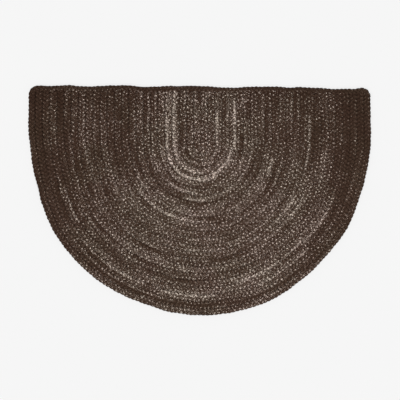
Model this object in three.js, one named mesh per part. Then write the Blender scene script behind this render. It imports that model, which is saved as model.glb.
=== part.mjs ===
// Half-round doormat of braided jute, lying flat on the floor.
// Millimetres, +Z up. The straight edge is towards +Y and the round side towards -Y.
import * as THREE from 'three';
import { mergeVertices } from 'three/addons/utils/BufferGeometryUtils.js';

// Driving dimensions of the whole mat
const WIDTH = 762; // along the straight edge
const DEPTH = 511; // from the highest point of the straight edge to the far side of the bend
const ROWS = 24; // rows of braid from the middle line out to each side
const THICKNESS = 9; // floor to the crown of a row
const GROOVE_DEPTH = 3; // crown down to the seam between two rows
const CORNER_RADIUS = 20; // outer corners, where the edge braid turns
const STRIP_WIDTH = 12.6; // the edge braid where it covers the cut ends
const CORE_SIDEWAYS = 3; // the innermost row lies this far right of the middle
const CORE_DROP = 8; // and this far below the centre of the outer bend
const SEAM_GAP = 0.4; // clear between the sewn rows and the edge braid
const SPLICE_GAP = 0.8; // slit where the two ends of the edge braid meet
const SPLICE_LEAN = 9; // how far the slit runs sideways as it crosses the braid
const SPLICE_RAY = 89.4; // where the slit is, in degrees round the bend
const SPLICE_END = 2; // degrees from the slit to where each end of the braid lies as a plain row

// Sizes that follow from them
const RADIUS = WIDTH / 2; // outer bend
const LEG = DEPTH - RADIUS; // straight stretch beside the straight edge
const BRAID = RADIUS / ROWS; // pitch of the rows
const INNER_ROWS = ROWS - 1; // rows inside the edge braid

// Fineness of the surface
const STEPS_ACROSS_ROW = 4;
const STEPS_ON_LEG = 3;
const STEPS_ROUND_BEND = 32;
const STEPS_ROUND_CORNER = 4;
const STEPS_OVER_CROWN = 6;

// Roundness of a row's crown: 2 is a parabola, more is flatter with steeper sides
const CROWN_POWER = 2.3;
// Edge braid in section: its widest level, and how much of its width lies on the floor
const WIDEST_LEVEL = 3.8;
const FLAT_SHARE = 0.72;

// How far the round edge stands out from a true half oval. The ray starts at the centre of the
// bend: 0 degrees is right, 90 the far side, and below 0 and above 180 it meets the straight legs.
const ROUND_EDGE = [
  { ray: -18, out: -1.8 },
  { ray: -11, out: -0.7 },
  { ray: -2, out: 0 },
  { ray: 10, out: -4.6 },
  { ray: 19, out: -5.4 },
  { ray: 30, out: -2.3 },
  { ray: 41, out: -4.3 },
  { ray: 52, out: -2.4 },
  { ray: 66, out: 2 },
  { ray: 76, out: 2.4 },
  { ray: 88, out: 1.4 },
  { ray: 100, out: -0.2 },
  { ray: 109, out: -3.5 },
  { ray: 127, out: -1.5 },
  { ray: 139, out: -2 },
  { ray: 148, out: -1.5 },
  { ray: 158, out: -5.4 },
  { ray: 165, out: -8.7 },
  { ray: 175, out: -6 },
  { ray: 185, out: -0.2 },
  { ray: 198, out: -1.2 },
];

// How far the straight edge sags below its highest point, by the distance from the middle
const STRAIGHT_EDGE = [
  { along: -352, sag: 1 },
  { along: -328, sag: 2.2 },
  { along: -296, sag: 0.2 },
  { along: -256, sag: 3.6 },
  { along: -192, sag: 1.4 },
  { along: -168, sag: 0 },
  { along: -122, sag: 3.9 },
  { along: -60, sag: 2.5 },
  { along: -22, sag: 1.4 },
  { along: 70, sag: 6.2 },
  { along: 120, sag: 3.8 },
  { along: 168, sag: 3.6 },
  { along: 200, sag: 6.1 },
  { along: 216, sag: 5 },
  { along: 256, sag: 6.7 },
  { along: 304, sag: 9.4 },
  { along: 340, sag: 9.2 },
  { along: 360, sag: 6.8 },
  { along: 374, sag: 8 },
];

// Value at a place between two lines of a table, easing from one to the next
function eased(table, place, value, where) {
  const next = table.findIndex((line) => line[place] >= where);
  if (next < 0) {
    return table.at(-1)[value];
  }
  if (next === 0) {
    return table[0][value];
  }
  const before = table[next - 1];
  const after = table[next];
  const share = THREE.MathUtils.smoothstep(where, before[place], after[place]);
  return THREE.MathUtils.lerp(before[value], after[value], share);
}

// Point on the bend of the row line at a radius. Inner lines lose the unevenness of the outer
// edge in proportion, and drift towards the centre of the innermost row.
function bendPoint(radius, ray) {
  const share = radius / RADIUS;
  const reach = radius + share * eased(ROUND_EDGE, 'ray', 'out', ray);
  const angle = THREE.MathUtils.degToRad(ray);
  return new THREE.Vector2(
    CORE_SIDEWAYS * (1 - share) + reach * Math.cos(angle),
    -CORE_DROP * (1 - share) - reach * Math.sin(angle),
  );
}

// Point on the right (1) or left (-1) leg of the row line at a radius, a drop below the straight edge
function legPoint(side, radius, drop) {
  const share = radius / RADIUS;
  const climb = THREE.MathUtils.radToDeg(Math.atan2(LEG - drop, RADIUS));
  const ray = side > 0 ? -climb : 180 + climb;
  const out = eased(ROUND_EDGE, 'ray', 'out', ray);
  const x = CORE_SIDEWAYS * (1 - share) + side * (radius + share * out);
  const top = LEG - eased(STRAIGHT_EDGE, 'along', 'sag', x);
  const y = THREE.MathUtils.lerp(top, -CORE_DROP * (1 - share), drop / LEG);
  return new THREE.Vector2(x, y);
}

// A plan point lifted to a height
const at = (point, height) => new THREE.Vector3(point.x, point.y, height);

// Closed body from loose triangles: like corners are joined, and triangles with no area left out
function closedBody(triangles) {
  const loose = new THREE.BufferGeometry().setFromPoints(triangles.flat());
  const joined = mergeVertices(loose, 1e-3);
  const index = joined.getIndex().array;
  const kept = [];
  for (let i = 0; i < index.length; i += 3) {
    const [a, b, c] = index.slice(i, i + 3);
    if (a !== b && b !== c && c !== a) {
      kept.push(a, b, c);
    }
  }
  joined.setIndex(kept);
  return joined;
}

// Two triangles over the four corners of a patch, given in turn
const patch = (a, b, c, d) => [[a, b, c], [a, c, d]];

// Triangles over a flat face with its corners given in turn
const fan = (corners) => corners.slice(2).map((corner, i) => [corners[0], corners[i + 1], corner]);

// The sewn rows: one braid coiled flat into a half oval and cut across at the straight edge.
// Every row is a rib, and the underside is flat.
function sewnRows() {
  const lines = INNER_ROWS * STEPS_ACROSS_ROW;

  function lineRadius(line) {
    return line === lines ? INNER_ROWS * BRAID - SEAM_GAP : (line / STEPS_ACROSS_ROW) * BRAID;
  }

  function lineHeight(line) {
    const across = (line % STEPS_ACROSS_ROW) / STEPS_ACROSS_ROW;
    return THICKNESS - GROOVE_DEPTH * Math.abs(2 * across - 1) ** CROWN_POWER;
  }

  // The outermost line stops where the corner of the edge braid begins to turn
  function linePoints(line) {
    const radius = lineRadius(line);
    const end = line === lines ? CORNER_RADIUS : STRIP_WIDTH + SEAM_GAP;
    const leg = (side) => Array.from({ length: STEPS_ON_LEG }, (_, step) =>
      legPoint(side, radius, THREE.MathUtils.lerp(end, LEG, step / STEPS_ON_LEG)));
    const bend = Array.from({ length: STEPS_ROUND_BEND + 1 }, (_, step) =>
      bendPoint(radius, (180 * step) / STEPS_ROUND_BEND));
    return [...leg(1), ...bend, ...leg(-1).reverse()];
  }

  const plan = Array.from({ length: lines + 1 }, (_, line) => linePoints(line));
  const top = plan.map((points, line) => points.map((point) => at(point, lineHeight(line))));
  const stations = top[0].length;
  const last = stations - 1;
  const triangles = [];

  for (let line = 0; line < lines; line += 1) {
    for (let station = 0; station < last; station += 1) {
      triangles.push(...patch(
        top[line][station],
        top[line][station + 1],
        top[line + 1][station + 1],
        top[line + 1][station],
      ));
    }
  }

  // Walls at the cut ends of each row, and the foot of the whole outline
  const foot = [];
  for (let line = 0; line < lines; line += STEPS_ACROSS_ROW) {
    const ribs = top.slice(line, line + STEPS_ACROSS_ROW + 1);
    const right = ribs.map((points) => points[0]);
    const left = ribs.map((points) => points[last]);
    const outer = line + STEPS_ACROSS_ROW;
    triangles.push(...fan([at(plan[outer][0], 0), at(plan[line][0], 0), ...right]));
    triangles.push(...fan([at(plan[line][last], 0), at(plan[outer][last], 0), ...left.reverse()]));
    foot.push(at(plan[line][0], 0));
  }
  const rim = plan[lines].map((point) => at(point, 0));
  for (let station = 0; station < last; station += 1) {
    triangles.push(...patch(
      rim[station],
      top[lines][station],
      top[lines][station + 1],
      rim[station + 1],
    ));
  }
  foot.push(...rim);
  for (let line = lines - STEPS_ACROSS_ROW; line > 0; line -= STEPS_ACROSS_ROW) {
    foot.push(at(plan[line][last], 0));
  }

  // Flat underside, as a fan about the centre of the innermost bend
  const centre = at(bendPoint(0, 0), 0);
  foot.forEach((corner, i) => triangles.push([centre, corner, foot[(i + 1) % foot.length]]));
  return closedBody(triangles);
}

// The edge braid: one more row round the bend, turned at both corners and laid over the cut ends,
// with its own two ends meeting at a slanting slit in the middle of the round side.
function edgeBraid() {
  const width = (turn) => THREE.MathUtils.lerp(BRAID, STRIP_WIDTH, turn);
  const rowRadius = (across) => (INNER_ROWS + (1 + across) / 2) * BRAID;
  const stations = [];

  // A station gives the point at a place across the braid, from -1 inside to 1 outside
  const bend = (ray) => (across) => bendPoint(rowRadius(across), ray);
  const leg = (side, drop) => (across) => legPoint(side, rowRadius(across), drop);
  const corner = (side, turn) => (across) => {
    const reach = CORNER_RADIUS - (width(turn) * (1 - across)) / 2;
    const angle = (turn * Math.PI) / 2;
    const radius = RADIUS - CORNER_RADIUS + reach * Math.cos(angle);
    return legPoint(side, radius, CORNER_RADIUS - reach * Math.sin(angle));
  };
  const strip = (side, radius) => (across) =>
    legPoint(side, radius, (STRIP_WIDTH * (1 - across)) / 2);
  const splice = (way) => (across) => {
    const along = (across * SPLICE_LEAN + way * SPLICE_GAP) / 2;
    return bendPoint(rowRadius(across), SPLICE_RAY + THREE.MathUtils.radToDeg(along / RADIUS));
  };

  // One half of the loop, from the slit to the last station before the middle of the straight edge
  function half(side) {
    const stepsToMiddle = STEPS_ROUND_BEND / 2;
    const list = [splice(-side), bend(SPLICE_RAY - side * SPLICE_END)];
    for (let step = stepsToMiddle - 1; step >= 0; step -= 1) {
      const ray = (180 * step) / STEPS_ROUND_BEND;
      list.push(bend(side > 0 ? ray : 180 - ray));
    }
    for (let step = STEPS_ON_LEG - 1; step >= 0; step -= 1) {
      list.push(leg(side, THREE.MathUtils.lerp(CORNER_RADIUS, LEG, step / STEPS_ON_LEG)));
    }
    for (let step = 1; step <= STEPS_ROUND_CORNER; step += 1) {
      list.push(corner(side, step / STEPS_ROUND_CORNER));
    }
    for (let row = INNER_ROWS - 1; row > 0; row -= 1) {
      list.push(strip(side, row * BRAID));
    }
    return list;
  }
  stations.push(...half(1), strip(1, 0), ...half(-1).reverse());

  // Section: an arch from the inside over the crown to the outside, and a flat foot
  const arch = Array.from({ length: STEPS_OVER_CROWN + 1 }, (_, step) => {
    const angle = Math.PI * (1 - step / STEPS_OVER_CROWN);
    return {
      across: Math.cos(angle),
      height: WIDEST_LEVEL + (THICKNESS - WIDEST_LEVEL) * Math.sin(angle),
    };
  });
  const section = [
    ...arch,
    { across: FLAT_SHARE, height: 0 },
    { across: -FLAT_SHARE, height: 0 },
  ];

  const rings = stations.map((station) =>
    section.map(({ across, height }) => at(station(across), height)));
  const triangles = [];
  for (let ring = 0; ring < rings.length - 1; ring += 1) {
    section.forEach((_, i) => {
      const next = (i + 1) % section.length;
      triangles.push(...patch(
        rings[ring][i],
        rings[ring][next],
        rings[ring + 1][next],
        rings[ring + 1][i],
      ));
    });
  }
  triangles.push(...fan([...rings[0]].reverse()), ...fan(rings.at(-1)));
  return closedBody(triangles);
}

// Dyed jute: dark brown, dull, with the darker shade along the edge
const rowsJute = new THREE.MeshStandardMaterial({ color: '#52433b', roughness: 0.95, metalness: 0 });
const edgeJute = new THREE.MeshStandardMaterial({ color: '#3e2f28', roughness: 0.95, metalness: 0 });

const rows = new THREE.Mesh(sewnRows(), rowsJute);
rows.name = 'sewn_rows';
const edge = new THREE.Mesh(edgeBraid(), edgeJute);
edge.name = 'edge_braid';

// The shapes are drawn about the centre of the bend. The mat's origin is on the floor below the
// middle of its outline.
const mat = new THREE.Group();
mat.add(rows, edge);
const middle = new THREE.Box3().setFromObject(mat).getCenter(new THREE.Vector3());
mat.position.set(-middle.x, -middle.y, 0);

export default mat;
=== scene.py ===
# A half-round doormat of braided jute, dyed dark brown, lying flat on a pale floor. Metres, +Z up.
import math

import bpy
import numpy as np
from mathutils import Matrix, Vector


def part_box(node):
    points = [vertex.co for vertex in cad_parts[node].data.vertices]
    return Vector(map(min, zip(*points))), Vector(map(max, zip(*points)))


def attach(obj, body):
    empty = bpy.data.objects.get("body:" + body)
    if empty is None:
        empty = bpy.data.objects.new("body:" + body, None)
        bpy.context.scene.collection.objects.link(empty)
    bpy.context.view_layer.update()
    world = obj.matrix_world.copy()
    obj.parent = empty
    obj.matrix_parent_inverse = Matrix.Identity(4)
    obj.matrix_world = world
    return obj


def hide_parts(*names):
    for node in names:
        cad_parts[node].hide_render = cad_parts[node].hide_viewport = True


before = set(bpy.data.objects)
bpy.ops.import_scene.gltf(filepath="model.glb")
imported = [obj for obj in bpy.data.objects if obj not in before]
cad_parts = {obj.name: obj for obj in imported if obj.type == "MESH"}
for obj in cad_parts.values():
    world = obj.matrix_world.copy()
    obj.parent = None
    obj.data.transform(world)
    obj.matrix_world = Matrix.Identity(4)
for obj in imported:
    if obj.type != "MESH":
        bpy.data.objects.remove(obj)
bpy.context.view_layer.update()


# Sewn rows: one long braid of three jute strands, coiled from a hairpin in the middle into a half
# oval, sewn row to row and cut across at the straight edge. Each strand is a bundle of soft yarns,
# and the sewing presses the strands flat against each other and against the next row.
ROWS = 24
RADIUS = 0.381  # outer bend
LEG = 0.130  # straight stretch beside the straight edge
BRAID = RADIUS / ROWS
EDGE_LOW, EDGE_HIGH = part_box("edge_braid")
THICKNESS = EDGE_HIGH.z
BEND_Y = EDGE_HIGH.y - LEG  # centre of the outer bend
CORE_SIDEWAYS = 0.003  # the innermost row lies this far right of the middle
CORE_DROP = 0.008  # and this far below the centre of the outer bend
CUT_END = 0.010  # the rows end this far below the straight edge, under the edge braid
ROUTE_STEP = 0.004
MM = 0.001

# How far the round edge stands out from a true half oval, in millimetres, by the ray in degrees
# from the centre of the bend: 0 is right, 90 the far side, below 0 and above 180 the straight legs.
ROUND_EDGE = {
    "ray": [-18, -11, -2, 10, 19, 30, 41, 52, 66, 76, 88,
            100, 109, 127, 139, 148, 158, 165, 175, 185, 198],
    "out": [-1.8, -0.7, 0, -4.6, -5.4, -2.3, -4.3, -2.4, 2, 2.4, 1.4,
            -0.2, -3.5, -1.5, -2, -1.5, -5.4, -8.7, -6, -0.2, -1.2],
}
# How far the straight edge sags below its highest point, by the distance from the middle, in millimetres
STRAIGHT_EDGE = {
    "along": [-352, -328, -296, -256, -192, -168, -122, -60, -22, 70,
              120, 168, 200, 216, 256, 304, 340, 360, 374],
    "sag": [1, 2.2, 0.2, 3.6, 1.4, 0, 3.9, 2.5, 1.4, 6.2,
            3.8, 3.6, 6.1, 5, 6.7, 9.4, 9.2, 6.8, 8],
}


def eased(places, values, where):
    """Values at places between those of a table, easing from one to the next."""
    where = np.clip(where, places[0], places[-1])
    before = np.clip(np.searchsorted(places, where) - 1, 0, len(places) - 2)
    low, high = np.take(places, before), np.take(places, before + 1)
    share = (where - low) / (high - low)
    share = share * share * (3 - 2 * share)
    return np.take(values, before) * (1 - share) + np.take(values, before + 1) * share


def bend_points(radius, rays):
    """Points round the bend on the row line at a radius, for rays in degrees."""
    share = radius / RADIUS
    reach = radius + share * MM * eased(ROUND_EDGE["ray"], ROUND_EDGE["out"], rays)
    angle = np.radians(rays)
    x = CORE_SIDEWAYS * (1 - share) + reach * np.cos(angle)
    y = BEND_Y - CORE_DROP * (1 - share) - reach * np.sin(angle)
    return np.stack([x, y], axis=-1)


def leg_points(side, radius, drops):
    """Points on the right (1) or left (-1) leg of a row line, by their drops below the straight edge."""
    share = radius / RADIUS
    climb = np.degrees(np.arctan2(LEG - drops, RADIUS))
    rays = -climb if side > 0 else 180 + climb
    out = MM * eased(ROUND_EDGE["ray"], ROUND_EDGE["out"], rays)
    x = CORE_SIDEWAYS * (1 - share) + side * (radius + share * out)
    top = LEG - MM * eased(STRAIGHT_EDGE["along"], STRAIGHT_EDGE["sag"], x / MM)
    y = BEND_Y + top + (-CORE_DROP * (1 - share) - top) * drops / LEG
    return np.stack([x, y], axis=-1)


def row_route(row):
    """The middle line of a sewn row, from the right cut end round the bend to the left one."""
    radius = (row + 0.5) * BRAID
    leg_steps = round((LEG - CUT_END) / ROUTE_STEP)
    bend_steps = max(24, round(math.pi * radius / ROUTE_STEP))
    drops = np.linspace(CUT_END, LEG, leg_steps, endpoint=False)
    rays = np.linspace(0, 180, bend_steps + 1)
    right = leg_points(1, radius, drops)
    left = leg_points(-1, radius, drops)[::-1]
    return np.concatenate([right, bend_points(radius, rays), left])


def route_length(route):
    return float(np.linalg.norm(np.diff(route, axis=0), axis=1).sum())


def select_only(*pieces):
    bpy.ops.object.select_all(action="DESELECT")
    for piece in pieces:
        piece.select_set(True)
    bpy.context.view_layer.objects.active = pieces[0]


def places_of(mesh):
    """Vertex places of a mesh as an array with one line to a vertex."""
    places = np.empty(len(mesh.vertices) * 3, np.float32)
    mesh.vertices.foreach_get("co", places)
    return places.reshape(-1, 3).astype(float)


def set_places(mesh, places):
    mesh.vertices.foreach_set("co", places.astype(np.float32).ravel())
    mesh.update()


def add_values(mesh, name, values):
    layer = mesh.attributes.get(name) or mesh.attributes.new(name, "FLOAT", "POINT")
    layer.data.foreach_set("value", np.broadcast_to(values, len(mesh.vertices)).astype(np.float32))


# One repeat of the braid, lying along X. Each strand is a strip of faces rolled into a tube along
# a path that swings from side to side once and rises and dips twice.
REPEAT = 0.027  # length in which each strand comes back to its place
STRANDS = 3
STRAND_WIDTH = 0.0074
STRAND_THICKNESS = 0.0045
SWING = 0.0058  # how far a strand goes to either side
RISE = (THICKNESS - STRAND_THICKNESS) / 2  # how far it goes up and down
STEPS_PER_REPEAT = 14
SIDES = 10
strands = []
for number in range(STRANDS):
    bpy.ops.mesh.primitive_grid_add(x_subdivisions=STEPS_PER_REPEAT, y_subdivisions=SIDES, size=1)
    strand = bpy.context.object
    share, around = (places_of(strand.data)[:, :2] + 0.5).T
    turn = 2 * math.pi * (share + number / STRANDS)
    height = THICKNESS / 2 + RISE * np.sin(2 * turn)
    middle = np.stack([share * REPEAT, SWING * np.sin(turn), height], axis=-1)
    step = 2 * math.pi / REPEAT
    slopes = SWING * step * np.cos(turn), 2 * RISE * step * np.cos(2 * turn)
    forward = np.stack([np.ones_like(turn), *slopes], axis=-1)
    forward /= np.linalg.norm(forward, axis=1, keepdims=True)
    side = np.stack([-forward[:, 1], forward[:, 0], np.zeros_like(turn)], axis=-1)
    side /= np.linalg.norm(side, axis=1, keepdims=True)
    up = np.cross(forward, side)
    angle = 2 * math.pi * around - math.pi / 2
    wide = STRAND_WIDTH / 2 * np.cos(angle)
    thick = STRAND_THICKNESS / 2 * np.sin(angle)
    set_places(strand.data, middle + side * wide[:, None] + up * thick[:, None])
    uv = strand.data.uv_layers[0]
    uv.name = "strand"
    marks = np.empty(len(strand.data.loops) * 2, np.float32)
    uv.data.foreach_get("uv", marks)
    marks[0::2] += number / STRANDS
    uv.data.foreach_set("uv", marks)
    add_values(strand.data, "ply", number)
    strands.append(strand)
select_only(*strands)
bpy.ops.object.join()
plait_repeat = strands[0]
bpy.ops.object.mode_set(mode="EDIT")
bpy.ops.mesh.select_all(action="SELECT")
bpy.ops.mesh.remove_doubles(threshold=1e-6)
bpy.ops.mesh.normals_make_consistent(inside=False)
bpy.ops.object.mode_set(mode="OBJECT")


def straight_plait(name, length, phase):
    """Repeats in a line along X, drawn out to a length and closed at both ends. The first starts
    at some phase of a repeat, so that no two rows keep step."""
    repeats = round(length / REPEAT)
    braid = plait_repeat.copy()
    braid.data = plait_repeat.data.copy()
    braid.name = name
    bpy.context.collection.objects.link(braid)
    select_only(braid)
    line_up = braid.modifiers.new("line_up", "ARRAY")
    line_up.count = repeats + 1
    line_up.use_relative_offset = False
    line_up.use_constant_offset = True
    line_up.constant_offset_displace = (REPEAT, 0, 0)
    line_up.use_merge_vertices = True
    line_up.merge_threshold = 1e-5
    line_up.offset_u = 1
    bpy.ops.object.modifier_apply(modifier="line_up")
    bpy.ops.object.mode_set(mode="EDIT")
    bpy.ops.mesh.select_all(action="SELECT")
    bpy.ops.transform.translate(value=(-phase * REPEAT, 0, 0))
    bpy.ops.transform.resize(value=(length / (repeats * REPEAT), 1, 1), center_override=(0, 0, 0))
    bpy.ops.mesh.bisect(plane_co=(0, 0, 0), plane_no=(-1, 0, 0), clear_outer=True)
    bpy.ops.mesh.select_all(action="SELECT")
    bpy.ops.mesh.bisect(plane_co=(length, 0, 0), plane_no=(1, 0, 0), clear_outer=True)
    bpy.ops.mesh.select_all(action="SELECT")
    bpy.ops.mesh.fill_holes(sides=0)
    bpy.ops.object.mode_set(mode="OBJECT")
    return braid


def bend_along(braid, route):
    """Bends the active, straight braid to a route on the floor."""
    line = bpy.data.curves.new(braid.name + "_line", "CURVE")
    line.dimensions = "3D"
    line.twist_mode = "Z_UP"
    spline = line.splines.new("POLY")
    spline.points.add(len(route) - 1)
    points = np.concatenate([route, np.zeros((len(route), 1)), np.ones((len(route), 1))], axis=1)
    spline.points.foreach_set("co", points.astype(np.float32).ravel())
    guide = bpy.data.objects.new(braid.name + "_line", line)
    bpy.context.collection.objects.link(guide)
    follow = braid.modifiers.new("follow", "CURVE")
    follow.object = guide
    follow.deform_axis = "POS_X"
    bpy.ops.object.modifier_apply(modifier="follow")
    bpy.data.objects.remove(guide)
    bpy.data.curves.remove(line)


# The strands wander a little from their places, and are lumpy, because jute is spun unevenly
WANDER = {"size": 0.022, "strength": 0.0026, "direction": "RGB_TO_XYZ"}
LUMPS = {"size": 0.006, "strength": 0.0012, "direction": "NORMAL"}
HIGHEST = THICKNESS + 0.0004  # strands that would stand up further are trodden down to this


def clouds(name, size):
    texture = bpy.data.textures.new(name, "CLOUDS")
    texture.noise_scale = size
    texture.noise_depth = 1
    texture.cloud_type = "COLOR"
    return texture


lump_clouds = clouds("lumps", LUMPS["size"])
wander_clouds = clouds("wander", WANDER["size"])


def roughen(braid):
    """Makes the active braid uneven, and presses it down to the floor and to its full height."""
    for texture, unevenness in ((wander_clouds, WANDER), (lump_clouds, LUMPS)):
        push = braid.modifiers.new(texture.name, "DISPLACE")
        push.texture = texture
        push.texture_coords = "LOCAL"
        push.direction = unevenness["direction"]
        push.strength = unevenness["strength"]
        push.mid_level = 0.5
        bpy.ops.object.modifier_apply(modifier=texture.name)
    places = places_of(braid.data)
    places[:, 2] = np.clip(places[:, 2], 0, HIGHEST)
    set_places(braid.data, places)


def plait(name, route, row, phase, shape=None):
    """A braid along a route, with marks of its row, of the place across it and of the distance to
    its nearer end. A shape changes the places of its points while it is straight."""
    length = route_length(route)
    braid = straight_plait(name, length, phase)
    places = places_of(braid.data)
    add_values(braid.data, "across", places[:, 1] / BRAID)
    add_values(braid.data, "from_end", np.minimum(places[:, 0], length - places[:, 0]))
    add_values(braid.data, "row", row)
    if shape is not None:
        set_places(braid.data, shape(places))
    bend_along(braid, route)
    roughen(braid)
    bpy.ops.object.shade_smooth()
    return braid


# Which rows make one piece of the scene, from the first to before the last
ROW_PIECES = {
    "rows_core": (0, 11),
    "rows_inner": (11, 16),
    "rows_middle": (16, 20),
    "rows_outer": (20, 23),
}
sewing = np.random.default_rng(7)
row_pieces = []
for piece_name, (first, last) in ROW_PIECES.items():
    braids = [plait(f"row_{row}", row_route(row), row, sewing.random()) for row in range(first, last)]
    select_only(*braids)
    bpy.ops.object.join()
    braids[0].name = piece_name
    row_pieces.append(braids[0])


class Value:
    """A shader socket that takes part in sums."""

    def __init__(self, finish, socket):
        self.finish = finish
        self.socket = socket

    def maths(self, operation, *others):
        inputs = dict(enumerate((self, *others)))
        return self.finish.node("ShaderNodeMath", {"operation": operation}, inputs)

    def __add__(self, other):
        return self.maths("ADD", other)

    def __sub__(self, other):
        return self.maths("SUBTRACT", other)

    def __mul__(self, other):
        return self.maths("MULTIPLY", other)

    def __truediv__(self, other):
        return self.maths("DIVIDE", other)

    def __rsub__(self, other):
        return self.finish.node("ShaderNodeMath", {"operation": "SUBTRACT"}, {0: other, 1: self})

    __radd__ = __add__
    __rmul__ = __mul__

    def whole(self):
        return self.maths("FLOOR")

    def fraction(self):
        return self.maths("FRACT")

    def between(self, low, high):
        """0 below low, 1 above high and smooth between them."""
        settings = {"interpolation_type": "SMOOTHSTEP"}
        inputs = {"Value": self, "From Min": low, "From Max": high}
        return self.finish.node("ShaderNodeMapRange", settings, inputs)


class Finish:
    """A material built from nodes."""

    def __init__(self, name):
        self.material = bpy.data.materials.new(name)
        self.material.use_nodes = True
        self.tree = self.material.node_tree
        self.tree.nodes.clear()

    def node(self, kind, settings, inputs, output=0):
        """A node with its settings, and the values or links of its sockets. Gives one output."""
        made = self.tree.nodes.new(kind)
        for key, value in settings.items():
            if key == "stops":
                for _ in range(len(value) - 2):
                    made.color_ramp.elements.new(0.5)
                for element, (position, colour) in zip(made.color_ramp.elements, value):
                    element.position = position
                    element.color = (*colour, 1)
            else:
                setattr(made, key, value)
        for key, value in inputs.items():
            if isinstance(value, Value):
                self.tree.links.new(value.socket, made.inputs[key])
            else:
                made.inputs[key].default_value = value
        return Value(self, made.outputs[output]) if made.outputs else None

    def object_place(self):
        return self.node("ShaderNodeTexCoord", {}, {}, "Object")

    def part(self, vector, axis):
        return self.node("ShaderNodeSeparateXYZ", {}, {0: vector}, axis)

    def vector(self, x, y, z):
        return self.node("ShaderNodeCombineXYZ", {}, {0: x, 1: y, 2: z})

    def attribute(self, name):
        return self.node("ShaderNodeAttribute", {"attribute_name": name}, {}, "Fac")

    def noise(self, vector, scale, detail, roughness):
        inputs = {"Vector": vector, "Scale": scale, "Detail": detail, "Roughness": roughness}
        return self.node("ShaderNodeTexNoise", {}, inputs)

    def chances(self, x, y, z):
        """Three random numbers from 0 to 1 for each whole x, y and z."""
        colour = self.node("ShaderNodeTexWhiteNoise", {}, {"Vector": self.vector(x, y, z)}, "Color")
        channels = ("Red", "Green", "Blue")
        return [self.node("ShaderNodeSeparateColor", {}, {0: colour}, channel) for channel in channels]

    def ramp(self, stops, value):
        return self.node("ShaderNodeValToRGB", {"stops": stops}, {"Fac": value})

    def mix(self, share, first, second, kind="MIX"):
        """Two colours mixed, or multiplied by each other."""
        settings = {"data_type": "RGBA", "blend_type": kind}
        return self.node("ShaderNodeMix", settings, {0: share, 6: first, 7: second}, 2)

    def bump(self, height, distance):
        inputs = {"Height": height, "Distance": distance, "Strength": 1.0}
        return self.node("ShaderNodeBump", {}, inputs)

    def surface(self, inputs):
        """The surface of the finished material."""
        shader = self.node("ShaderNodeBsdfPrincipled", {}, inputs)
        self.node("ShaderNodeOutputMaterial", {}, {"Surface": shader})


def linear(red, green, blue):
    """A colour given as it looks on a screen, 0 to 255, for a shader."""
    parts = (np.array([red, green, blue]) / 255).tolist()
    return tuple(c / 12.92 if c <= 0.04045 else ((c + 0.055) / 1.055) ** 2.4 for c in parts)


# Tones of the dyed fibre, darkest to palest. Every tone below is on this scale.
TONES = [
    (0.0, linear(60, 43, 34)),
    (0.2, linear(70, 53, 42)),
    (0.4, linear(92, 75, 63)),
    (0.6, linear(122, 105, 93)),
    (0.8, linear(171, 154, 140)),
    (1.0, linear(240, 226, 212)),
]
REDDER = (1.04, 0.985, 1.0, 1.0)
YELLOWER = (1.01, 1.0, 0.98, 1.0)

# How the dye differs from place to place on the mat, and where shade is painted onto it: on the outer
# rim and at the cut ends
PALEST_RAY = 84
FAR_SIDE_TONE = 0.10  # on the palest ray
CORE_TONE = 0.015
LEG_TONE = -0.10  # at the straight edge
CORNER_TONE = -0.025
RIM_PAINTED_SHADE = -0.10  # painted shade on the outer side of the edge braid, along the outline
EDGE_FAR_SIDE_TONE = -0.03
CUT_END_PAINTED_SHADE = -0.14  # painted shade in the slits at the cut ends, at the splice and where the rows go under the edge braid
STREAK_TONE = 0.28
CORE_ROWS = (3, 12)  # the core fades out between these rows
OUTER_ROWS = (16.5, 22)  # and the outer rows begin between these
RIM = (ROWS - 0.32, ROWS - 0.1)  # the painted shade of the rim begins between these
STRIP = (EDGE_HIGH.y - 0.024, EDGE_HIGH.y - 0.016)  # and the strip on the straight edge between these
# over which the painted shade at the cut ends fades out
CUT_END_SHADE_LENGTH = (0.0015, 0.005)
LEG_RAYS = 19  # by which the rays go on below 0 and above 180, to the straight edge

# Streaks where the braid's dye is paler or darker than round about: the row with its fraction, from
# the innermost, the rays between which it runs, and its strength. Rays go on below 0 and above 180
# on the straight legs.
STREAKS = {
    "row": [4.7, 4.27, 4.6, 4.75, 4.7, 3.7, 3.7, 3.5, 5.6, 6.77, 7.6, 10.4, 10.6, 10.7, 15.3, 15.2,
            16.4, 19.85, 20.2, 20.2, 21.2, 21.2, 21.2, 22.6, 8.0, 5.4, 10.2, 0.6, 14.8, 0.7, 2.3, 2.5],
    "from": [-13, 8, 66, 96, 180, 86, 165, 20, 98, 94, 86, 12, 86, 110, -8, 30,
             28, 44, 28, 148, 46, 84, 112, 40, 12, 44, 149, 110, 62, -19, -10, 60],
    "to": [8, 66, 96, 180, 199, 166, 199, 54, 176, 128, 106, 24, 106, 142, 14, 62,
           42, 74, 44, 162, 68, 108, 128, 140, 120, 88, 158, 165, 98, 0, 8, 172],
    "strength": [0.22, 0.32, 0.27, 0.2, 0.15, 0.2, 0.26, 0.1, 0.12, 0.22, 0.15, 0.12, 0.12, 0.1, 0.06,
                 0.1, 0.1, 0.2, 0.12, 0.12, 0.18, 0.2, 0.12, -0.1, -0.08, -0.08, -0.1, -0.1, 0.1,
                 0.06, 0.1, 0.11],
}
STREAK_WIDTH = (0.1, 0.27)  # of a row, to either side, between which it fades
STREAK_ENDS = 2  # degrees in which it fades

# How much pale fibre shows: most in the middle, less along the legs and little in the outer corners
LIVELY_MIDDLE, LIVELY_ROWS = 0.1, (6, 9)
CALM_LEGS, CALM_ROWS = 0.3, (6, 10)
CALM_CORNERS = 0.6
LIVELY_STREAK, CALM_STREAK = 20, 5


def smooth_step(values, low, high):
    share = np.clip((values - low) / (high - low), 0, 1)
    return share * share * (3 - 2 * share)


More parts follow.
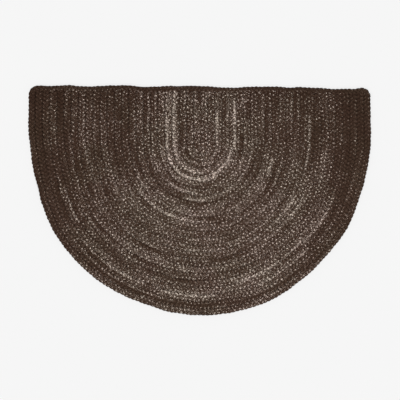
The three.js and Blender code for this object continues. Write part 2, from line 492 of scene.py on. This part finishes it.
def shade_from_place(piece):
    """Marks a piece with the tone of its dye, with painted shade on the outer rim and at the cut ends,
    and with how much pale fibre shows, from where on the mat each point lies."""
    mesh = piece.data
    x, y = places_of(mesh)[:, :2].T
    row, across, from_end = np.empty((3, len(x)), np.float32)
    mesh.attributes["row"].data.foreach_get("value", row)
    mesh.attributes["across"].data.foreach_get("value", across)
    mesh.attributes["from_end"].data.foreach_get("value", from_end)
    on_leg = np.clip((y - BEND_Y) / LEG, 0, 1)
    ray = np.degrees(np.arctan2(BEND_Y - y, x - CORE_SIDEWAYS * (1 - row / ROWS)))
    ray = np.where(y > BEND_Y, np.where(x > 0, -LEG_RAYS * on_leg, 180 + LEG_RAYS * on_leg), ray)
    reach = row + 0.5 + across

    far_side = np.sin(np.radians(np.clip(ray + 90 - PALEST_RAY, 0, 180)))
    outer = smooth_step(row, *OUTER_ROWS)
    in_edge = row > ROWS - 2
    off_strip = 1 - in_edge * smooth_step(y, *STRIP)
    shade = FAR_SIDE_TONE * far_side + CORE_TONE * (1 - smooth_step(row, *CORE_ROWS))
    shade += LEG_TONE * smooth_step(on_leg, 0.3, 1.1) * off_strip
    shade += CORNER_TONE * outer * (1 - smooth_step(far_side, 0.4, 0.95)) * off_strip
    # painted shade on the outer side of the edge braid along the outline, and the edge braid a little
    # darker on the far side
    shade += RIM_PAINTED_SHADE * smooth_step(reach, *RIM) + EDGE_FAR_SIDE_TONE * far_side * in_edge
    # painted shade in the slits at the cut ends
    shade += CUT_END_PAINTED_SHADE * (1 - smooth_step(from_end, *CUT_END_SHADE_LENGTH))
    streak = np.zeros(len(x))
    for at, start, end, strength in zip(*STREAKS.values()):
        begun = smooth_step(ray, start - STREAK_ENDS, start + STREAK_ENDS)
        ended = smooth_step(ray, end - STREAK_ENDS, end + STREAK_ENDS)
        beside = smooth_step(np.abs(reach - at), *STREAK_WIDTH)
        streak += strength * begun * (1 - ended) * (1 - beside)
    add_values(mesh, "shade", shade + STREAK_TONE * streak)

    liveliness = 1 + LIVELY_MIDDLE * (1 - smooth_step(row, *LIVELY_ROWS))
    along_legs = (1 - smooth_step(far_side, 0.05, 0.5)) * smooth_step(row, *CALM_ROWS) * (1 - outer)
    liveliness *= 1 - CALM_LEGS * along_legs
    liveliness *= 1 - CALM_CORNERS * outer * (1 - smooth_step(far_side, 0.3, 0.9))
    liveliness += np.where(streak > 0, LIVELY_STREAK, CALM_STREAK) * streak
    add_values(mesh, "liveliness", liveliness)


YARNS = 7  # round a strand
SPIN = 5.0  # yarn widths that a fibre crosses in one repeat
TWIST = 1.5  # yarns that one repeat turns past
LOBE_LENGTH = 0.5  # of a repeat: each strand comes up once on either side
PALE_SPOT_LENGTH = 0.065  # of a lobe
PALE_SPOT_WIDTH = 0.06  # of the way round a strand

# What makes up the tone of a yarn, with painted light low down, painted shade in the furrows and a
# painted highlight on the lobes
BASE_TONE = 0.195
DYE_TONE = 0.08  # the dye took unevenly in long stretches of a row
LINE_TONE = 0.27  # and more so on one side of it or the other
LINE_LIVELINESS = 3.2  # where more pale fibre shows as well
LOBE_TONE = 0.06
YARN_TONE = 0.14
GRAIN_TONE = 0.2
HAIR_TONE = 0.16
SPECK_TONE = 0.95
# pale spots on the tops of the lobes, partly fibre and partly painted highlight
TUFT_AND_HIGHLIGHT_TONE = 1.25
LOW_DOWN_PAINTED_LIGHT = 0.05  # painted light low down on the strands, with the crowns a little darker, against the shade in the crevices
FURROW_PAINTED_SHADE = 0.08  # painted shade in the furrows between the yarns


def jute(name):
    """Dyed jute with pale fibre and a painted highlight where the strands come up, painted light low
    down and painted shade in the furrows between the yarns.
    """
    finish = Finish(name)
    place = finish.object_place()
    height = finish.part(place, "Z")
    # A strand's own map: 1 along it is a repeat of the braid, and 1 round it is once round
    strand = finish.node("ShaderNodeUVMap", {"uv_map": "strand"}, {})
    along = finish.part(strand, "X")
    around = finish.part(strand, "Y")
    row = finish.attribute("row")
    strand_number = row * STRANDS + finish.attribute("ply")

    # Lobes, where a strand comes up, and the yarns that lie side by side in them
    lobe_at = along * (1 / LOBE_LENGTH) + 0.25
    lobe = lobe_at.whole()
    lobe_share = lobe_at.fraction()
    yarn_at = around * YARNS + along * TWIST
    yarn = yarn_at.whole().maths("FLOORED_MODULO", YARNS)
    yarn_share = yarn_at.fraction()
    yarn_crown = 1 - (yarn_share * 2 - 1).maths("POWER", 2)
    # Fibres lie aslant in each yarn, because the yarns are spun
    across_fibres = (yarn_share - along * SPIN) * 4
    fibre_at = finish.vector(across_fibres, along * 9, yarn + strand_number * YARNS)
    hairs = finish.noise(fibre_at, 1.0, 3.0, 0.6).between(0.36, 0.64)
    frayed_at = finish.vector(along * 40, around * 40, strand_number)
    frayed = finish.noise(frayed_at, 1.0, 2.0, 0.6) * 1.6 - 0.8

    def tuft_and_highlight(number, stray, rarity):
        """A pale spot on each lobe, partly fibre ends that stand up and partly a painted highlight where
        light falls on the crown, of a random strength and at some place that strays from the top of the
        lobe."""
        aside, ahead, strength = finish.chances(lobe, strand_number, 10.5 + number)
        off_lobe = (lobe_share - 0.5 + (ahead - 0.5) * stray) / PALE_SPOT_LENGTH
        off_side = (around - 0.5 + (aside - 0.5) * stray * 0.8) / PALE_SPOT_WIDTH
        nearness = 1 - (off_lobe * off_lobe + off_side * off_side) + frayed
        return nearness.between(0.0, 0.8) * strength.maths("POWER", rarity)

    # pale fibre ends and a painted highlight on the top of each lobe
    tufts_and_highlights = tuft_and_highlight(0, 0.18, 0.85)
    for number in (1, 2):
        tufts_and_highlights = tufts_and_highlights.maths("MAXIMUM", tuft_and_highlight(number, 0.7, 3.0))
    tufts_and_highlights = (tufts_and_highlights * (0.45 + 1.1 * hairs)).maths("MINIMUM", 1.0)
    speck_at = finish.vector(along * 21, around * 15, strand_number * 5)
    specks = finish.noise(speck_at, 1.0, 1.0, 0.6).between(0.54, 0.74) * (0.5 + hairs)

    half_row = ((row + finish.attribute("across") + 0.5) * 2).whole()
    dye = finish.noise(finish.vector(along * 0.16, row * 3.7, 0.0), 1.0, 2.0, 0.5) - 0.5
    line = finish.noise(finish.vector(along * 0.17, half_row * 7.3, 3.0), 1.0, 2.0, 0.6) - 0.5
    grain_at = finish.vector(along * 14, yarn_at, strand_number * 3)
    grain = finish.noise(grain_at, 1.0, 1.0, 0.5).between(0.3, 0.7)
    lobe_chance = finish.chances(lobe, strand_number, 3.5)[0]
    yarn_chance = finish.chances(lobe, strand_number, yarn)[0]

    fibre = LOBE_TONE * lobe_chance + YARN_TONE * yarn_chance + GRAIN_TONE * grain + HAIR_TONE * hairs
    fibre = fibre - (LOBE_TONE + YARN_TONE + GRAIN_TONE + HAIR_TONE) / 2
    fibre = fibre + (SPECK_TONE * specks + TUFT_AND_HIGHLIGHT_TONE * tufts_and_highlights)
    tone = BASE_TONE + finish.attribute("shade") + DYE_TONE * dye + LINE_TONE * line
    tone = tone + fibre * finish.attribute("liveliness") * (1 + LINE_LIVELINESS * line)
    # painted light low down on the strands, the crowns a little darker
    tone = tone - LOW_DOWN_PAINTED_LIGHT * (height.between(0.0035, 0.009) - 0.6)
    # painted shade in the furrows between the yarns
    tone = tone - FURROW_PAINTED_SHADE * (1 - yarn_crown)
    tinge = finish.noise(place, 11.0, 2.0, 0.5).between(0.38, 0.62)
    tint = finish.mix(tinge, YELLOWER, REDDER)
    finish.surface({
        "Base Color": finish.mix(1.0, finish.ramp(TONES, tone), tint, "MULTIPLY"),
        "Normal": finish.bump(yarn_crown * 0.55 + hairs * 0.35, 0.0014),
        "Roughness": 0.85,
        "Specular IOR Level": 0.05,
    })
    return finish.material


def finish_piece(piece, material):
    piece.data.materials.clear()
    piece.data.materials.append(material)
    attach(piece, "root")


rows_finish = jute("jute_of_rows")
for piece in row_pieces:
    shade_from_place(piece)
    finish_piece(piece, rows_finish)


# Edge braid: a further length of the same braid, sewn on as the outermost row, turned at the two
# corners and laid over the cut ends. Its own ends meet at a slanting splice in the far side.
SPLICE_RAY = 89.4  # degrees round the bend
SPLICE_GAP = 0.0002
SPLICE_LEAN = 0.009
SPLICE_LENGTH = 3 * REPEAT  # in which the slant grows to its full amount
CORNER_RADIUS = 0.020
CORNER_STEPS = 8
STRIP_WIDTH = 0.0126  # the edge braid where it covers the cut ends
EDGE_NARROWER = 0.885  # so that its strands keep inside the outline
EDGE_INWARD = 0.0005
EDGE_PHASE = 0.2


def edge_route():
    """The middle line of the edge braid, from the splice to the right and round to the splice."""
    radius = (ROWS - 0.5) * BRAID - EDGE_INWARD
    half_gap = math.degrees(SPLICE_GAP / 2 / radius)
    bend_steps = round(math.pi * radius / 2 / ROUTE_STEP)
    leg_drops = np.linspace(LEG, CORNER_RADIUS, round((LEG - CORNER_RADIUS) / ROUTE_STEP))
    turns = np.linspace(0, 1, CORNER_STEPS + 1)[1:]
    width = BRAID + (STRIP_WIDTH - BRAID) * turns
    reach = CORNER_RADIUS - EDGE_INWARD - width / 2
    corner_radii = RADIUS - CORNER_RADIUS + reach * np.cos(turns * math.pi / 2)
    corner_drops = CORNER_RADIUS - reach * np.sin(turns * math.pi / 2)
    strip_radii = np.arange(RADIUS - CORNER_RADIUS - ROUTE_STEP, ROUTE_STEP / 2, -ROUTE_STEP)
    strip_drop = STRIP_WIDTH / 2 + EDGE_INWARD

    def half(side):
        end = SPLICE_RAY - side * half_gap
        bend = bend_points(radius, np.linspace(end, 0 if side > 0 else 180, bend_steps))
        leg = leg_points(side, radius, leg_drops)[1:]
        corner = [leg_points(side, r, d) for r, d in zip(corner_radii, corner_drops)]
        strip = [leg_points(side, r, strip_drop) for r in strip_radii]
        return np.concatenate([bend, leg, corner, strip])

    middle = leg_points(1, 0, strip_drop)[None]
    return np.concatenate([half(-1), middle, half(1)[::-1]])


loop = edge_route()
loop_length = route_length(loop)
loop_along = np.concatenate([[0], np.cumsum(np.linalg.norm(np.diff(loop, axis=0), axis=1))])
# The braid narrows, over a few steps, where the route has turned the corner onto the straight edge
on_strip = loop[:, 1] > BEND_Y + LEG - CORNER_RADIUS * 0.8
narrowing = np.full(9, 1 / 9)
loop_width = np.pad(np.where(on_strip, STRIP_WIDTH / BRAID, 1.0), len(narrowing) // 2, mode="edge")
loop_width = np.convolve(loop_width, narrowing, mode="valid")


def narrow_and_slant(places):
    """Width of the edge braid along its length, and the slant of its two ends at the splice."""
    along = places[:, 0]
    shaped = places.copy()
    shaped[:, 1] *= EDGE_NARROWER * np.interp(along, loop_along, loop_width)
    from_end = np.minimum(along, loop_length - along)
    shaped[:, 0] += shaped[:, 1] * SPLICE_LEAN / BRAID * np.clip(1 - from_end / SPLICE_LENGTH, 0, 1)
    return shaped


edge_plait = plait("edge_plait", loop, ROWS - 1, EDGE_PHASE, narrow_and_slant)
bpy.data.objects.remove(plait_repeat)
shade_from_place(edge_plait)
finish_piece(edge_plait, jute("jute_of_edge"))
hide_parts("edge_braid")


# Heart of the mat: the pressed middle of every row, a dense mass of fibre that shows only at
#  the bottom of the crevices between the strands. It is coloured darker than the strands, as painted
#  shade there.
HEART_SHARE = 0.36  # of the rows' height
HEART_LIFT = 0.0022  # the lowest strands stand this far below it
EDGE_HEART_INSET = 0.0012  # all round in from the surface of the edge braid
EDGE_HEART_SHARE = 0.64  # of the height that leaves
# painted shade: darker than the strands' own darkest tone
HEART_PAINTED_SHADE_TONES = [(0.3, linear(44, 29, 20)), (0.7, linear(60, 42, 32))]


def merged_copy(name, node):
    """A piece of its own from a node's shape, with the loose triangles joined."""
    piece = bpy.data.objects.new(name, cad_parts[node].data.copy())
    bpy.context.collection.objects.link(piece)
    select_only(piece)
    bpy.ops.object.mode_set(mode="EDIT")
    bpy.ops.mesh.select_all(action="SELECT")
    bpy.ops.mesh.remove_doubles(threshold=1e-5)
    bpy.ops.object.mode_set(mode="OBJECT")
    return piece


rows_heart = merged_copy("rows_heart", "sewn_rows")
bpy.ops.object.mode_set(mode="EDIT")
bpy.ops.transform.resize(value=(1, 1, HEART_SHARE), center_override=(0, 0, 0))
bpy.ops.transform.translate(value=(0, 0, HEART_LIFT))
bpy.ops.object.mode_set(mode="OBJECT")

edge_heart = merged_copy("edge_heart", "edge_braid")
bpy.ops.object.mode_set(mode="EDIT")
bpy.ops.transform.shrink_fatten(value=-EDGE_HEART_INSET)
bpy.ops.transform.resize(value=(1, 1, EDGE_HEART_SHARE), center_override=(0, 0, THICKNESS / 2))
bpy.ops.object.mode_set(mode="OBJECT")

pressed_jute = Finish("pressed_jute")
pressed_grain = pressed_jute.noise(pressed_jute.object_place(), 300.0, 3.0, 0.6)
pressed_jute.surface({
    "Base Color": pressed_jute.ramp(HEART_PAINTED_SHADE_TONES, pressed_grain),
    "Normal": pressed_jute.bump(pressed_grain, 0.0005),
    "Roughness": 1.0,
})
finish_piece(rows_heart, pressed_jute.material)
finish_piece(edge_heart, pressed_jute.material)
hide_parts("sewn_rows")


# Floor: a plain white sheet, mottled so faintly that it is hardly seen. It is lit from below as
# well, as on a light table, so that hardly a shadow falls on it, but it is dark under the mat.
FLOOR_SIDE = 8.0
FLOOR_BELOW = 0.0002  # so that it nowhere coincides with the underside of the mat
FLOOR_TONES = [(0.0, (0.147, 0.147, 0.147)), (1.0, (0.153, 0.153, 0.153))]
FLOOR_GLOW = 0.77
COVERED = 0.012  # dark from this far inside the outline
bpy.ops.mesh.primitive_plane_add(size=FLOOR_SIDE, location=(0, 0, -FLOOR_BELOW))
floor = bpy.context.object
floor.name = "floor"
floor_white = Finish("floor_white")
floor_place = floor_white.object_place()
floor_x = floor_white.part(floor_place, "X")
floor_y = floor_white.part(floor_place, "Y")
past_bend = (floor_y - BEND_Y).maths("MINIMUM", 0.0)
floor_reach = (floor_x * floor_x + past_bend * past_bend).maths("SQRT")
past_round_edge = floor_reach.between(RADIUS - COVERED, RADIUS - COVERED / 2)
past_straight_edge = floor_y.between(EDGE_HIGH.y - COVERED * 1.5, EDGE_HIGH.y - COVERED)
in_the_open = past_round_edge.maths("MAXIMUM", past_straight_edge)
floor_white.surface({
    "Base Color": floor_white.ramp(FLOOR_TONES, floor_white.noise(floor_place, 3.0, 2.0, 0.5)),
    "Roughness": 0.9,
    "Specular IOR Level": 0.0,
    "Emission Color": floor_white.mix(in_the_open, (0, 0, 0, 1), (1, 1, 1, 1)),
    "Emission Strength": FLOOR_GLOW,
})
floor.data.materials.append(floor_white.material)


# Light: the even white of a studio from all round, and one wide softbox high up to the left of the
# round side, so that each strand is a little brighter on one side.
STUDIO_WHITE = (1, 1, 1, 1)
STUDIO_STRENGTH = 0.75
SOFTBOX_STRENGTH = 1.0
SOFTBOX_WIDTH = 40  # degrees across, as seen from the mat
SOFTBOX_TILT = (28, -22, 0)  # degrees from straight overhead
world = bpy.data.worlds.new("studio")
bpy.context.scene.world = world
world.use_nodes = True
background = world.node_tree.nodes["Background"].inputs
background["Color"].default_value = STUDIO_WHITE
background["Strength"].default_value = STUDIO_STRENGTH
softbox = bpy.data.lights.new("softbox", "SUN")
softbox.energy = SOFTBOX_STRENGTH
softbox.angle = math.radians(SOFTBOX_WIDTH)
lamp = bpy.data.objects.new("softbox", softbox)
bpy.context.collection.objects.link(lamp)
lamp.rotation_euler = [math.radians(tilt) for tilt in SOFTBOX_TILT]


# Camera: it looks straight down from high up with a long lens, as in the photo. The sides of the
# mat's outline in the photo, in pixels from its left and its top, give the camera's place.
PHOTO_SIDE = 400
MAT_LEFT, MAT_RIGHT = 28.0, 371.2
MAT_TOP, MAT_BOTTOM = 84.7, 315.4
LENS = 100
SENSOR = 36
metres_per_pixel = (EDGE_HIGH.x - EDGE_LOW.x) / (MAT_RIGHT - MAT_LEFT)
camera = bpy.data.cameras.new("camera")
camera.lens = LENS
camera.sensor_width = SENSOR
camera.clip_end = 20
eye = bpy.data.objects.new("camera", camera)
bpy.context.collection.objects.link(eye)
eye.location = (
    (PHOTO_SIDE / 2 - (MAT_LEFT + MAT_RIGHT) / 2) * metres_per_pixel,
    ((MAT_TOP + MAT_BOTTOM) / 2 - PHOTO_SIDE / 2) * metres_per_pixel,
    THICKNESS / 2 + PHOTO_SIDE * metres_per_pixel * LENS / SENSOR,
)
bpy.context.scene.camera = eye
bpy.context.scene.view_settings.view_transform = "Standard"
